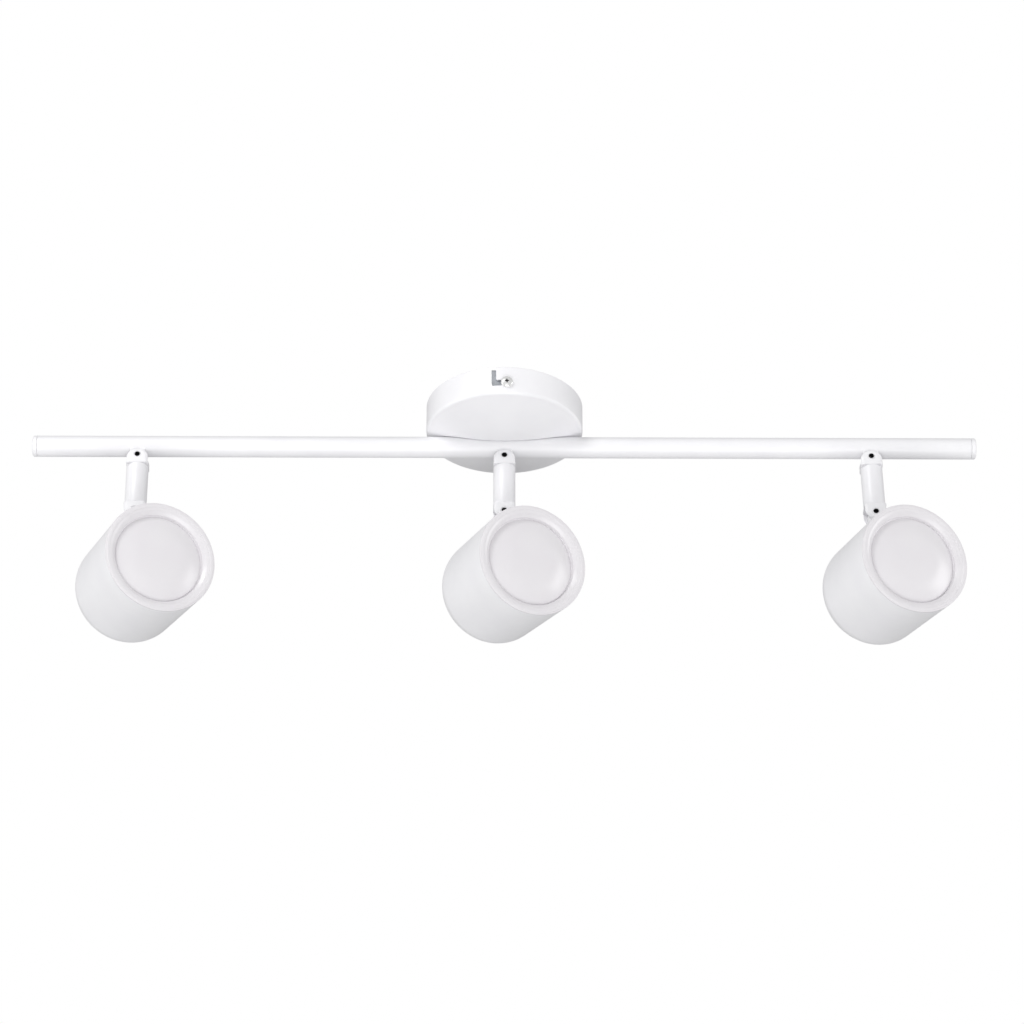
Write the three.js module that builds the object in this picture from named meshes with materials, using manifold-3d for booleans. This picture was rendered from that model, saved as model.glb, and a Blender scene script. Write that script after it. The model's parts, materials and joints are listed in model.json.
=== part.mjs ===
// Three-head ceiling spot bar: a round pressed canopy carries a straight tube, and three short
// arms hang from the tube, each with a can-shaped lamp head on a swivelling neck.
// Millimetres, +Z up. The origin is the middle of the ceiling bracket's top face, which lies on
// the ceiling. +X runs along the tube and -Y is the side that the lamp heads face.
import * as THREE from "three";
import { mergeVertices } from "three/addons/utils/BufferGeometryUtils.js";
import Module from "manifold-3d";

const wasm = await Module();
wasm.setup();

// ---- driving sizes ----
const restGap = 0.3; // clearance between pieces that rest on each other
const shaftGap = 0.25; // radial clearance of a shaft, stud or nipple in its hole

const canopyRadius = 50;
const canopyDrop = 20; // ceiling to the edge of the canopy's face
const canopyEdge = 2.4; // rounding between the wall and the face
const canopySheet = 1;
const domeMargin = 3; // canopy's wall to the foot of its domed face
const domeDepth = 9.5;

const bracketWidth = 19; // of its tabs
const bracketStrip = 13; // width of the strip that carries the tabs
const bracketSheet = 1.5;
const bracketTab = 17; // height of a down-turned tab
const bracketTabCorner = 8;
const bracketWing = 37; // reach of the plate's side wings
const bracketWingWidth = 22;
const ceilingSlotWidth = 5;
const ceilingSlotLength = 14;
const ceilingSlotSpacing = 54;

const sideScrewDrop = 11.6; // ceiling to the side screws
const sideScrewTurn = 1.6; // turn of the bracket about Z, degrees
const sideScrewRadius = 1.95;
const sideScrewHead = 3.85;
const sideScrewHeadHeight = 2.4;
const sideScrewLength = 7;
const screwTip = 0.5;
const sideScrewRound = 1.4; // rounding of the head's edge
const recessLength = 4;
const recessWidth = 0.9;
const recessDepth = 1.1;
const recessTurn = 5; // degrees
const slotWidth = 4.7; // bayonet slots in the canopy's wall
const slotRun = 9; // side screw to the slot's upright leg

const terminalSize = { x: 17, y: 30, z: 13 };
const terminalPlace = 25;
const terminalPitch = 9;
const terminalBase = 0.6; // share of the block's height that joins its poles
const terminalPole = { x: 12, y: 7 };
const terminalWireHole = 1.7;
const terminalScrewHole = 1.5;
const terminalScrewPlace = 3.4;
const earthScrewPlace = -26;

const tubeRadius = 6.75;
const tubeWall = 1.2;
const tubeLength = 596;
const tubeDrop = 29.5; // ceiling to the tube's axis
const capLength = 2.9;
const capEdge = 2.4;
const capSpigot = 9;
const nippleRadius = 4;
const nippleBore = 2.6;
const nippleProud = 1.8; // thread showing over its nut
const washerThickness = 1;
const nutHeight = 4;
const nutFlats = 13;

const lugSpigot = 3;
const wiringEnd = 4; // how far the wiring reaches past the outer heads

const headSpacing = 233.5;
const forkGap = 0.8; // upper fork's round end to the tube
const lugWall = 0.1; // thinnest wall between the pivot's hole and the tube
const armLength = 40.5; // upper hinge to lower hinge
const armRadius = 7;
const armWall = 1.2;
const cheekThickness = 1.3;
const cheekOffset = 2; // hinge to the middle of the cheek's round end
const shoulderDrop = 6; // hinge to the arm tube's end
const flangeThickness = 1.3;
const clevisCorner = 2.4;
const spigotLength = 7.5;
const pivotRadius = 2;
const pivotSocketFlats = 2.8;
const pivotSocketDepth = 3.2;
const wireRadius = 1.8;

const neckReach = 15.27; // lower hinge to the can's skin
const neckRadius = 5.2;
const neckFlangeRadius = 8.6;
const neckFlangeThickness = 2.2;
const neckFlangeDrop = 8.4; // lower hinge to the top of the neck's flange
const studRadius = 3.9;
const studProud = 1.5; // thread showing under its nut
const neckNutGap = 2.3; // can's sheet to the nut on its seat
const padRadius = 10;

const canFront = 46; // neck axis to the front of the lens's rim
const canBack = 29; // neck axis to the can's closed end
const canRadius = 35.8; // at the front
const canDraft = 1.6; // how much smaller the can is where its back begins to round
const canRound = 17; // rounding of the closed end
const canSheet = 1.2;
const canPitch = 6.5; // droop of the can's front, degrees
const lensRim = 8.1; // width of the lens's raised rim, edge to groove
const lensFlange = 1.6; // thickness of the rim in front of the can's end
const lensRimHeight = 3; // rim's top over the lens's edge
const lensSheet = 2;
const lensCrown = 2.7; // rise of the lens's middle over its edge
const lensGroove = 0.6; // depth of the groove under the lens's edge
const lensSkirt = 6; // front of the rim to the end of its spigot in the can
const sinkPlace = 30; // neck axis to the heat sink's front face
const sinkThickness = 3;
const finLength = 10;
const finPitch = 10;
const finSheet = 2;
const finShort = 9; // how far each end of a fin stays inside the sink's edge
const boardMargin = 6; // can's inside to the board's edge
const boardThickness = 1.6;
const chipSize = 3.5;
const chipCount = 6;
const driverPlace = { y: 2, z: -10 };
const driverSize = { x: 44, y: 32, z: 1.6 };
const transformerSize = { x: 16, y: 14, z: 13 };
const transformerPlace = { x: -9, y: 0 };
const chokeSize = { x: 10, y: 8, z: 8 };
const chokePlace = { x: 13, y: -6 };
const capacitorSize = { radius: 4.5, length: 14 };
const capacitorPlace = { x: 13, y: 6 };

// Sides of round pieces: large turned shells, tubes, bosses, small holes and pins, and wires.
const largeSides = 30;
const tubeSides = 24;
const bossSides = 16;
const pinSides = 10;
const wireSides = 8;

// Lean of the arm, lean of the neck and turn of the can as the heads are set, in degrees.
const heads = [
  { name: "left", place: -headSpacing, lean: 0, tilt: -2.8, turn: 24.6 },
  { name: "middle", place: 0, lean: 0, tilt: 1.4, turn: 24.9 },
  { name: "right", place: headSpacing, lean: -1.75, tilt: -2.9, turn: 20.4 },
];

// ---- materials ----
const paint = new THREE.MeshStandardMaterial({ color: 0xf4f4f6, roughness: 0.42, metalness: 0 });
const steel = new THREE.MeshStandardMaterial({ color: 0xb4b6b9, roughness: 0.35, metalness: 0.9 });
const zinc = new THREE.MeshStandardMaterial({ color: 0x77797d, roughness: 0.5, metalness: 0.8 });
const brass = new THREE.MeshStandardMaterial({ color: 0xb8985a, roughness: 0.4, metalness: 0.9 });
const aluminium = new THREE.MeshStandardMaterial({ color: 0xc4c6c9, roughness: 0.45, metalness: 0.9 });
const frosted = new THREE.MeshStandardMaterial({ color: 0xe4e1e6, roughness: 0.5, metalness: 0 });
const nylon = new THREE.MeshStandardMaterial({ color: 0xdedbd0, roughness: 0.6, metalness: 0 });
const board = new THREE.MeshStandardMaterial({ color: 0xe9ebe6, roughness: 0.6, metalness: 0 });
const laminate = new THREE.MeshStandardMaterial({ color: 0x2f6b46, roughness: 0.6, metalness: 0 });
const cable = new THREE.MeshStandardMaterial({ color: 0xd8d8d8, roughness: 0.6, metalness: 0 });

// ---- solids ----
const rad = THREE.MathUtils.degToRad;

function moved({ x = 0, y = 0, z = 0, rx = 0, ry = 0, rz = 0 }) {
  const turn = new THREE.Quaternion().setFromEuler(new THREE.Euler(rx, ry, rz));
  return new THREE.Matrix4().compose(new THREE.Vector3(x, y, z), turn, new THREE.Vector3(1, 1, 1));
}

// A closed geometry as a solid that can be joined and cut.
function solid(geometry, place = {}) {
  const plain = geometry.clone();
  plain.deleteAttribute("normal");
  plain.deleteAttribute("uv");
  plain.applyMatrix4(moved(place));
  const merged = mergeVertices(plain, 1e-4);
  const mesh = new wasm.Mesh({
    numProp: 3,
    vertProperties: merged.attributes.position.array,
    triVerts: new Uint32Array(merged.index.array),
  });
  return new wasm.Manifold(mesh);
}

function geometryOf(body) {
  const mesh = body.getMesh();
  const geometry = new THREE.BufferGeometry();
  const positions = new Float32Array(mesh.vertProperties);
  geometry.setAttribute("position", new THREE.BufferAttribute(positions, 3));
  geometry.setIndex(new THREE.BufferAttribute(new Uint32Array(mesh.triVerts), 1));
  geometry.computeVertexNormals();
  return geometry;
}

function box(x, y, z, place = {}) {
  return solid(new THREE.BoxGeometry(x, y, z), place);
}

// A round bar along Y, turned to another axis by its place.
function rod(radius, length, place = {}, sides = bossSides) {
  return solid(new THREE.CylinderGeometry(radius, radius, length, sides), place);
}

const alongX = { rz: Math.PI / 2 };
const alongZ = { rx: Math.PI / 2 };

function hexagon(flats, length, place = {}) {
  return rod(flats / Math.sqrt(3), length, place, 6);
}

// A shape in X and Z, pushed along Y through the given thickness.
function plate(shape, thickness, place = {}, curveSegments = 6) {
  const options = { depth: thickness, bevelEnabled: false, curveSegments };
  const geometry = new THREE.ExtrudeGeometry(shape, options);
  geometry.translate(0, 0, -thickness / 2);
  geometry.rotateX(Math.PI / 2);
  return solid(geometry, place);
}

// A turned solid about the Y axis from [radius, y] corners that start and end on the axis.
function turned(corners, segments) {
  const points = corners.map(([radius, y]) => new THREE.Vector2(radius, y));
  return solid(new THREE.LatheGeometry(points, segments));
}

function arc(centreRadius, centreY, radius, fromDegrees, toDegrees, steps) {
  const corners = [];
  for (let step = 0; step <= steps; step += 1) {
    const angle = rad(fromDegrees + ((toDegrees - fromDegrees) * step) / steps);
    corners.push([centreRadius + radius * Math.cos(angle), centreY + radius * Math.sin(angle)]);
  }
  return corners;
}

const root = new THREE.Group();

function add(group, name, body, material, place = {}) {
  const mesh = new THREE.Mesh(geometryOf(body), material);
  mesh.name = name;
  mesh.applyMatrix4(moved(place));
  group.add(mesh);
  return mesh;
}

// ---- canopy ----
// The outer skin, or the hollow inside it when it is shrunk by the sheet's thickness. The wall
// goes up past the ceiling by `rise`.
function canopyBody(shrink, rise) {
  const radius = canopyRadius - shrink;
  const edge = canopyEdge - shrink;
  const face = -canopyDrop + shrink;
  const domeRadius = canopyRadius - domeMargin;
  const sphere = (domeRadius ** 2 + domeDepth ** 2) / (2 * domeDepth);
  const domeCentre = face - domeDepth + sphere;
  const half = THREE.MathUtils.radToDeg(Math.asin(domeRadius / sphere));
  const dome = arc(0, domeCentre, sphere, -90, -90 + half, 3);
  dome[0][0] = 0;
  const corner = arc(radius - edge, face + edge, edge, -90, 0, 3);
  const corners = [...dome, ...corner, [radius, rise], [0, rise]];
  const body = turned(corners, 2 * bossSides);
  return body.rotate([90, 0, 0]);
}

// An L outline in X and Z: the screw's seat at the origin, a level run, an upright leg and the rim.
function bayonetOutline() {
  const half = slotWidth / 2;
  const shape = new THREE.Shape();
  shape.moveTo(-slotRun - half, sideScrewDrop + 1);
  shape.lineTo(-slotRun - half, 0);
  shape.absarc(-slotRun, 0, half, Math.PI, 1.5 * Math.PI, false);
  shape.lineTo(0, -half);
  shape.absarc(0, 0, half, -Math.PI / 2, Math.PI / 2, false);
  shape.lineTo(-slotRun + half, half);
  shape.lineTo(-slotRun + half, sideScrewDrop + 1);
  return shape;
}

const saddleRadius = tubeRadius + restGap;
const tubeAxis = -tubeDrop;
const longRod = 4 * canopyRadius;
const nippleHole = nippleRadius + shaftGap;

function canopyShell() {
  const trough = rod(saddleRadius, longRod, { ...alongX, z: tubeAxis }, tubeSides);
  const troughInside = rod(saddleRadius + canopySheet, longRod, { ...alongX, z: tubeAxis }, tubeSides);
  const outside = canopyBody(0, 0).subtract(trough);
  const inside = canopyBody(canopySheet, 1).subtract(troughInside);
  let shell = outside.subtract(inside);
  const wallCut = 4 * canopySheet;
  for (const side of [0, 180]) {
    const cut = plate(bayonetOutline(), wallCut, { y: -canopyRadius, z: -sideScrewDrop });
    shell = shell.subtract(cut.rotate([0, 0, side + sideScrewTurn]));
  }
  return shell.subtract(rod(nippleHole, canopyDrop, { ...alongZ, z: tubeAxis + canopyDrop / 2 }));
}

// ---- ceiling bracket ----
const tabReach = Math.sqrt((canopyRadius - canopySheet - restGap) ** 2 - (bracketWidth / 2) ** 2);

// A round-ended hole through the bracket's plate, long along Y.
function slotHole(width, length, place) {
  const half = (length - width) / 2;
  const shape = new THREE.Shape();
  shape.absarc(0, half, width / 2, 0, Math.PI, false);
  shape.absarc(0, -half, width / 2, Math.PI, 2 * Math.PI, false);
  return plate(shape, 6 * bracketSheet, { rx: Math.PI / 2, ...place });
}

// A tab in X and Z, hanging from the plate, its lower corners rounded.
function tabOutline() {
  const half = bracketWidth / 2;
  const inner = half - bracketTabCorner;
  const corner = bracketTabCorner - bracketTab;
  const shape = new THREE.Shape();
  shape.moveTo(-half, 0);
  shape.absarc(-inner, corner, bracketTabCorner, Math.PI, 1.5 * Math.PI, false);
  shape.absarc(inner, corner, bracketTabCorner, 1.5 * Math.PI, 2 * Math.PI, false);
  shape.lineTo(half, 0);
  return shape;
}

function ceilingBracket() {
  const middle = -bracketSheet / 2;
  let body = box(bracketStrip, 2 * tabReach, bracketSheet, { z: middle });
  body = body.add(box(2 * bracketWing, bracketWingWidth, bracketSheet, { z: middle }));
  for (const side of [-1, 1]) {
    const y = side * (tabReach - bracketSheet / 2);
    body = body.add(plate(tabOutline(), bracketSheet, { y }));
    body = body.subtract(rod(sideScrewRadius + shaftGap, 6, { y, z: -sideScrewDrop }, pinSides));
    const slot = slotHole(ceilingSlotWidth, ceilingSlotLength, { y: (side * ceilingSlotSpacing) / 2 });
    body = body.subtract(slot);
  }
  const earthHole = rod(sideScrewRadius + shaftGap, 6, { ...alongZ, x: earthScrewPlace }, pinSides);
  return body.subtract(earthHole).rotate([0, 0, sideScrewTurn]);
}

// A pan-head cross-recess screw along Y, its head's underside at the origin and its head at -Y.
function panScrew(length) {
  const dome = [
    [0, -sideScrewHeadHeight],
    [sideScrewHead * 0.55, -sideScrewHeadHeight],
    ...arc(sideScrewHead - sideScrewRound, -1, sideScrewRound, -75, 0, 2),
    [sideScrewHead, 0],
    [sideScrewRadius, 0],
    [sideScrewRadius, length - screwTip],
    [sideScrewRadius - screwTip, length],
    [0, length],
  ];
  let body = turned(dome, bossSides);
  for (const quarter of [0, Math.PI / 2]) {
    const place = { y: -sideScrewHeadHeight, ry: quarter + rad(recessTurn) };
    body = body.subtract(box(recessLength, 2 * recessDepth, recessWidth, place));
  }
  return body;
}

// ---- fittings inside the canopy ----
function terminalBlock() {
  const baseZ = ((terminalBase - 1) * terminalSize.z) / 2;
  let body = box(terminalSize.x, terminalSize.y, terminalSize.z * terminalBase, { z: baseZ });
  for (const pole of [-1, 0, 1]) {
    const y = pole * terminalPitch;
    body = body.add(box(terminalPole.x, terminalPole.y, terminalSize.z, { y }));
    const wireHole = rod(terminalWireHole, 2 * terminalSize.x, { ...alongX, y, z: baseZ }, wireSides);
    body = body.subtract(wireHole);
    for (const side of [-1, 1]) {
      const place = { ...alongZ, x: side * terminalScrewPlace, y, z: -terminalSize.z / 2 };
      body = body.subtract(rod(terminalScrewHole, 6, place, wireSides));
    }
  }
  return body.rotate([0, 0, sideScrewTurn]);
}

const crown = tubeAxis + saddleRadius + canopySheet; // top of the trough inside the canopy
const washerBase = crown + restGap / 2;
const nutBase = washerBase + washerThickness + restGap / 2;
const nippleTop = nutBase + nutHeight + nippleProud;
const nippleFoot = tubeAxis + nippleRadius;

// A round or six-sided piece about Z with a round hole, from its base upwards.
function ring(outer, inner, height, base, sides = bossSides) {
  const place = { ...alongZ, z: base + height / 2 };
  return rod(outer, height, place, sides).subtract(rod(inner, 2 * height, place));
}

const nutCorner = nutFlats / Math.sqrt(3);

// ---- tube ----

function barTube() {
  const bore = tubeRadius - tubeWall;
  let body = rod(tubeRadius, tubeLength, alongX, tubeSides);
  body = body.subtract(rod(bore, tubeLength + 2, alongX, tubeSides));
  body = body.subtract(rod(nippleHole, tubeRadius, { ...alongZ, z: tubeRadius }));
  for (const head of heads) {
    const holePlace = { ...alongZ, x: head.place, z: -tubeRadius };
    const hole = rod(lugSpigot + shaftGap, tubeRadius, holePlace, pinSides);
    body = body.subtract(hole);
  }
  return body;
}

// Plug for the +X end, its flange's inner face at the origin.
function endCap() {
  const corners = [
    [0, -capSpigot],
    [tubeRadius - tubeWall - shaftGap, -capSpigot],
    [tubeRadius - tubeWall - shaftGap, 0],
    [tubeRadius, 0],
    ...arc(tubeRadius - capEdge, capLength - capEdge, capEdge, 0, 90, 3),
    [0, capLength],
  ];
  return turned(corners, tubeSides).rotate([0, 0, -90]);
}

// ---- hinges ----
const cheekInside = armRadius - cheekThickness;
const tongueHalf = cheekInside - restGap;
const slotFloor = shoulderDrop - flangeThickness; // hinge to the floor between the cheeks
const eyeRadius = slotFloor - restGap;
const pivotHole = pivotRadius + shaftGap;

// Tube's axis to the upper hinge: the fork's round end clears the tube's side, and the pivot's
// hole stays in the lug.
const tubeBulge = Math.sqrt(Math.max(0, tubeRadius ** 2 - cheekInside ** 2));
const forkDrop = armRadius - cheekOffset + forkGap + tubeBulge;
const lugDrop = tubeRadius + shaftGap + lugWall + pivotHole;
const hingeDrop = Math.max(forkDrop, lugDrop);

// Tongue under the tube, its eye at the origin and the tube above it.
function barLug() {
  let body = rod(eyeRadius, 2 * tongueHalf);
  body = body.add(box(2 * eyeRadius, 2 * tongueHalf, hingeDrop, { z: hingeDrop / 2 }));
  body = body.subtract(rod(tubeRadius + shaftGap, longRod, { ...alongX, z: hingeDrop }, tubeSides));
  const spigotTop = hingeDrop - tubeRadius + 2 * tubeWall;
  body = body.add(rod(lugSpigot, spigotTop, { ...alongZ, z: spigotTop / 2 }, pinSides));
  return body.subtract(rod(pivotHole, 4 * armRadius, {}, pinSides));
}

function roundedSquare(half, corner) {
  const shape = new THREE.Shape();
  const inner = half - corner;
  shape.absarc(inner, inner, corner, 0, Math.PI / 2, false);
  shape.absarc(-inner, inner, corner, Math.PI / 2, Math.PI, false);
  shape.absarc(-inner, -inner, corner, Math.PI, 1.5 * Math.PI, false);
  shape.absarc(inner, -inner, corner, 1.5 * Math.PI, 2 * Math.PI, false);
  return shape;
}

// Fork at the arm's upper end, its hinge at the origin and its spigot pointing down.
function clevis() {
  const outline = new THREE.Shape();
  outline.moveTo(-armRadius, -shoulderDrop);
  outline.lineTo(armRadius, -shoulderDrop);
  outline.lineTo(armRadius, -cheekOffset);
  outline.absarc(0, -cheekOffset, armRadius, 0, Math.PI, false);
  let body = plate(outline, 2 * armRadius, {}, bossSides / 2);
  const section = plate(roundedSquare(armRadius, clevisCorner), 4 * armRadius, alongZ, 3);
  body = body.intersect(section);
  const slotHeight = 2 * armRadius;
  const slotPlace = { z: slotHeight / 2 - slotFloor };
  body = body.subtract(box(4 * armRadius, 2 * cheekInside, slotHeight, slotPlace));
  const spigot = armRadius - armWall - shaftGap;
  const spigotPlace = { ...alongZ, z: -shoulderDrop - spigotLength / 2 + 0.5 };
  body = body.add(rod(spigot, spigotLength + 1, spigotPlace));
  const wirePlace = { ...alongZ, z: -2 * armRadius - pivotRadius };
  body = body.subtract(rod(wireRadius + restGap, 4 * armRadius, wirePlace, pinSides));
  return body.subtract(rod(pivotHole, 4 * armRadius, {}, pinSides));
}

function pivotScrew() {
  const length = 2 * armRadius - restGap;
  const body = rod(pivotRadius, length, {}, pinSides);
  return body.subtract(hexagon(pivotSocketFlats, 2 * pivotSocketDepth, { y: -length / 2 }));
}

const armTubeEnd = shoulderDrop + restGap / 2;

function armTube() {
  const length = armLength - 2 * armTubeEnd;
  const place = { ...alongZ, z: -armLength / 2 };
  const bore = rod(armRadius - armWall, length + 2, place, tubeSides);
  return rod(armRadius, length, place, tubeSides).subtract(bore);
}

function armWiring() {
  const length = armLength - 2 * (slotFloor + 1);
  return rod(wireRadius, length, { ...alongZ, z: -armLength / 2 }, wireSides);
}

// ---- neck ----
const padTop = neckFlangeDrop + neckFlangeThickness + restGap;
const canSlope = canDraft / (canFront + canBack - canRound);
const canRadiusAt = (y) => canRadius - canSlope * (y + canFront);
const neckLength = neckReach + canRadiusAt(0); // lower hinge to the can's axis
const neckNutTop = neckReach + canSheet + neckNutGap;
const studFoot = neckNutTop + nutHeight + studProud;

function neckLug() {
  const flangeMiddle = -neckFlangeDrop - neckFlangeThickness / 2;
  const studLength = studFoot + flangeMiddle;
  let body = rod(eyeRadius, 2 * tongueHalf);
  body = body.add(rod(neckRadius, -flangeMiddle, { ...alongZ, z: flangeMiddle / 2 }));
  body = body.add(rod(neckFlangeRadius, neckFlangeThickness, { ...alongZ, z: flangeMiddle }, tubeSides));
  body = body.add(rod(studRadius, studLength, { ...alongZ, z: -studFoot + studLength / 2 }));
  return body.subtract(rod(pivotHole, 4 * armRadius, {}, pinSides));
}

function neckNut() {
  const place = { ...alongZ, z: -neckNutTop - nutHeight / 2 };
  return hexagon(nutFlats, nutHeight, place).subtract(rod(studRadius + shaftGap, 2 * nutHeight, place));
}

// ---- lamp head, the can's axis along Y and its open end at -Y ----
const canPose = { z: -neckLength, rx: rad(canPitch) };
const backFace = canBack - canRound;

// The can's outer skin grown by `grow`, its open end at `from`.
function canSkin(grow, from) {
  const back = arc(canRadiusAt(backFace) - canRound, backFace, canRound + grow, 0, 90, 4);
  const corners = [[0, from], [canRadiusAt(from) + grow, from], ...back, [0, canBack + grow]];
  return turned(corners, largeSides);
}

function housing() {
  const outside = canSkin(0, -canFront + lensFlange + restGap);
  const inside = canSkin(-canSheet, -canFront - 1);
  const neckHole = rod(studRadius + shaftGap, neckLength, { ...alongZ, z: -neckLength / 2 });
  const inNeckFrame = outside.subtract(inside).rotate([canPitch, 0, 0]).translate([0, 0, -neckLength]);
  return inNeckFrame.subtract(neckHole);
}

function swivelPad() {
  const height = neckReach + canRadiusAt(0) / 5 - padTop;
  let body = rod(padRadius, height, { ...alongZ, z: -padTop - height / 2 }, tubeSides);
  const wide = canRadiusAt(-2 * padRadius) + restGap;
  const narrow = canRadiusAt(2 * padRadius) + restGap;
  const cone = solid(new THREE.CylinderGeometry(narrow, wide, 4 * padRadius, 2 * largeSides), canPose);
  body = body.subtract(cone);
  return body.subtract(rod(studRadius + shaftGap, neckLength, { ...alongZ, z: -neckLength / 2 }));
}

const lensRadius = canRadius - canSheet - restGap; // of the spigot in the can
const lensRing = canRadius - lensRim;
const lensFront = [0, 0.62, 0.86, 0.97]; // shares of the lens's radius
// The rim from its groove to the can, as shares of its width and of its height.
const lensSlope = [[0.1, 0.8], [0.35, 0.25], [0.6, 0], [0.9, 0.05], [1, 0.25]];

// The lens is nearly flat in the middle and falls to a groove inside its raised, rounded rim,
// which covers the can's end.
function lens() {
  const rim = -canFront;
  const edge = rim + lensRimHeight;
  const skirt = rim + lensSkirt;
  const skirtRadius = lensRadius - lensSkirt * canSlope;
  const fall = (share) => edge - lensCrown * (1 - share ** 4);
  const front = lensFront.map((share) => [lensRing * share, fall(share)]);
  const slope = lensSlope.map(([out, back]) => [lensRing + lensRim * out, rim + lensRimHeight * back]);
  const corners = [
    ...front,
    [lensRing, edge + lensGroove],
    ...slope,
    [canRadius, rim + lensFlange],
    [lensRadius, rim + lensFlange],
    [skirtRadius, skirt],
    [skirtRadius - lensSheet, skirt],
    [lensRing, edge + lensSheet],
    [lensRing * lensFront[1], fall(lensFront[1]) + lensSheet],
    [0, fall(0) + lensSheet],
  ];
  return turned(corners, largeSides);
}

function heatSink() {
  const radius = canRadiusAt(-sinkPlace) - canSheet - restGap;
  let body = rod(radius, sinkThickness, { y: -sinkPlace + sinkThickness / 2 }, largeSides);
  const finPlace = -sinkPlace + sinkThickness + finLength / 2 - 0.5;
  for (let fin = -2; fin <= 2; fin += 1) {
    const reach = Math.abs(fin) * finPitch + finSheet / 2;
    const height = 2 * (Math.sqrt(Math.max(0, radius ** 2 - reach ** 2)) - finShort);
    if (height > finSheet) {
      body = body.add(box(finSheet, finLength + 1, height, { x: fin * finPitch, y: finPlace }));
    }
  }
  return body;
}

function ledBoard() {
  const radius = canRadiusAt(-sinkPlace) - canSheet - boardMargin;
  const back = -sinkPlace - restGap;
  let body = rod(radius, boardThickness, { y: back - boardThickness / 2 }, tubeSides);
  for (let chip = 0; chip < chipCount; chip += 1) {
    const angle = (2 * Math.PI * chip) / chipCount;
    const reach = radius * 0.66;
    const place = { x: reach * Math.cos(angle), y: back - boardThickness, z: reach * Math.sin(angle) };
    body = body.add(box(chipSize, boardThickness, chipSize, place));
  }
  return body;
}

// Driver board lying behind the heat sink, with its transformer, choke and capacitor.
function driver() {
  const standing = (size, spot) => {
    return box(size.x, size.y, size.z, { ...spot, z: driverPlace.z + size.z / 2 });
  };
  let body = box(driverSize.x, driverSize.y, driverSize.z, driverPlace);
  body = body.add(standing(transformerSize, transformerPlace));
  body = body.add(standing(chokeSize, chokePlace));
  const capacitorZ = driverPlace.z + capacitorSize.radius;
  const capacitor = { ...capacitorPlace, z: capacitorZ };
  return body.add(rod(capacitorSize.radius, capacitorSize.length, capacitor, pinSides));
}

// ---- assembly ----
const bodyGap = restGap / 2;
add(root, "canopy_shell", canopyShell(), paint);
add(root, "ceiling_bracket", ceilingBracket(), zinc);
const sideScrew = panScrew(sideScrewLength);
for (const [side, name] of [[0, "canopy_screw_front"], [180, "canopy_screw_back"]]) {
  const turn = rad(side + sideScrewTurn);
  const reach = canopyRadius + bodyGap;
  const place = { x: reach * Math.sin(turn), y: -reach * Math.cos(turn), z: -sideScrewDrop, rz: turn };
  add(root, name, sideScrew, steel, place);
}
const terminalZ = -bracketSheet - restGap - terminalSize.z / 2;
const wingTurn = rad(sideScrewTurn);
const wingPoint = (x, z) => ({ x: x * Math.cos(wingTurn), y: x * Math.sin(wingTurn), z });
add(root, "terminal_block", terminalBlock(), nylon, wingPoint(terminalPlace, terminalZ));
const earthPlace = { ...wingPoint(earthScrewPlace, -bracketSheet - bodyGap), rx: Math.PI / 2 };
add(root, "earth_screw", panScrew(bracketSheet), brass, earthPlace);

const nippleLength = nippleTop - nippleFoot;
add(root, "tube_nipple", ring(nippleRadius, nippleBore, nippleLength, nippleFoot), brass);
add(root, "nipple_washer", ring(2 * nippleRadius, nippleHole, washerThickness, washerBase), steel);
add(root, "nipple_nut", ring(nutCorner, nippleHole, nutHeight, nutBase, 6), brass);

add(root, "bar_tube", barTube(), paint, { z: tubeAxis });
const capPlace = tubeLength / 2 + bodyGap;
add(root, "end_cap_right", endCap(), paint, { x: capPlace, z: tubeAxis });
add(root, "end_cap_left", endCap(), paint, { x: -capPlace, z: tubeAxis, rz: Math.PI });
const wiringLength = 2 * (headSpacing + wiringEnd);
add(root, "bar_wiring", rod(wireRadius, wiringLength, alongX, wireSides), cable, { z: tubeAxis });

const headPieces = [
  ["housing", housing(), paint],
  ["swivel_pad", swivelPad(), paint],
  ["lens", lens(), frosted, canPose],
  ["heat_sink", heatSink(), aluminium, canPose],
  ["led_board", ledBoard(), board, canPose],
  ["driver", driver(), laminate, canPose],
];

for (const head of heads) {
  add(root, `bar_lug_${head.name}`, barLug(), paint, { x: head.place, z: tubeAxis - hingeDrop });

  const arm = new THREE.Group();
  arm.position.set(head.place, 0, tubeAxis - hingeDrop);
  arm.rotation.y = rad(head.lean);
  root.add(arm);
  add(arm, `clevis_upper_${head.name}`, clevis(), paint);
  add(arm, `pivot_screw_upper_${head.name}`, pivotScrew(), steel);
  add(arm, `arm_tube_${head.name}`, armTube(), paint);
  add(arm, `arm_wiring_${head.name}`, armWiring(), cable);
  add(arm, `clevis_lower_${head.name}`, clevis(), paint, { z: -armLength, ry: Math.PI });
  add(arm, `pivot_screw_lower_${head.name}`, pivotScrew(), steel, { z: -armLength });

  const neck = new THREE.Group();
  neck.position.set(0, 0, -armLength);
  neck.rotation.y = rad(head.tilt - head.lean);
  arm.add(neck);
  add(neck, `neck_lug_${head.name}`, neckLug(), paint);
  add(neck, `neck_nut_${head.name}`, neckNut(), steel);

  const can = new THREE.Group();
  can.rotation.z = rad(head.turn);
  neck.add(can);
  for (const [piece, body, material, place] of headPieces) {
    add(can, `${piece}_${head.name}`, body, material, place);
  }
}

export default root;
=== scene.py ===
# Three-head ceiling spot bar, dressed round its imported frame.
# Shapes are drawn in millimetres and scaled to metres when a piece is set in place.
import json
import math
import bpy
import bmesh
from mathutils import Matrix, Vector


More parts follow.
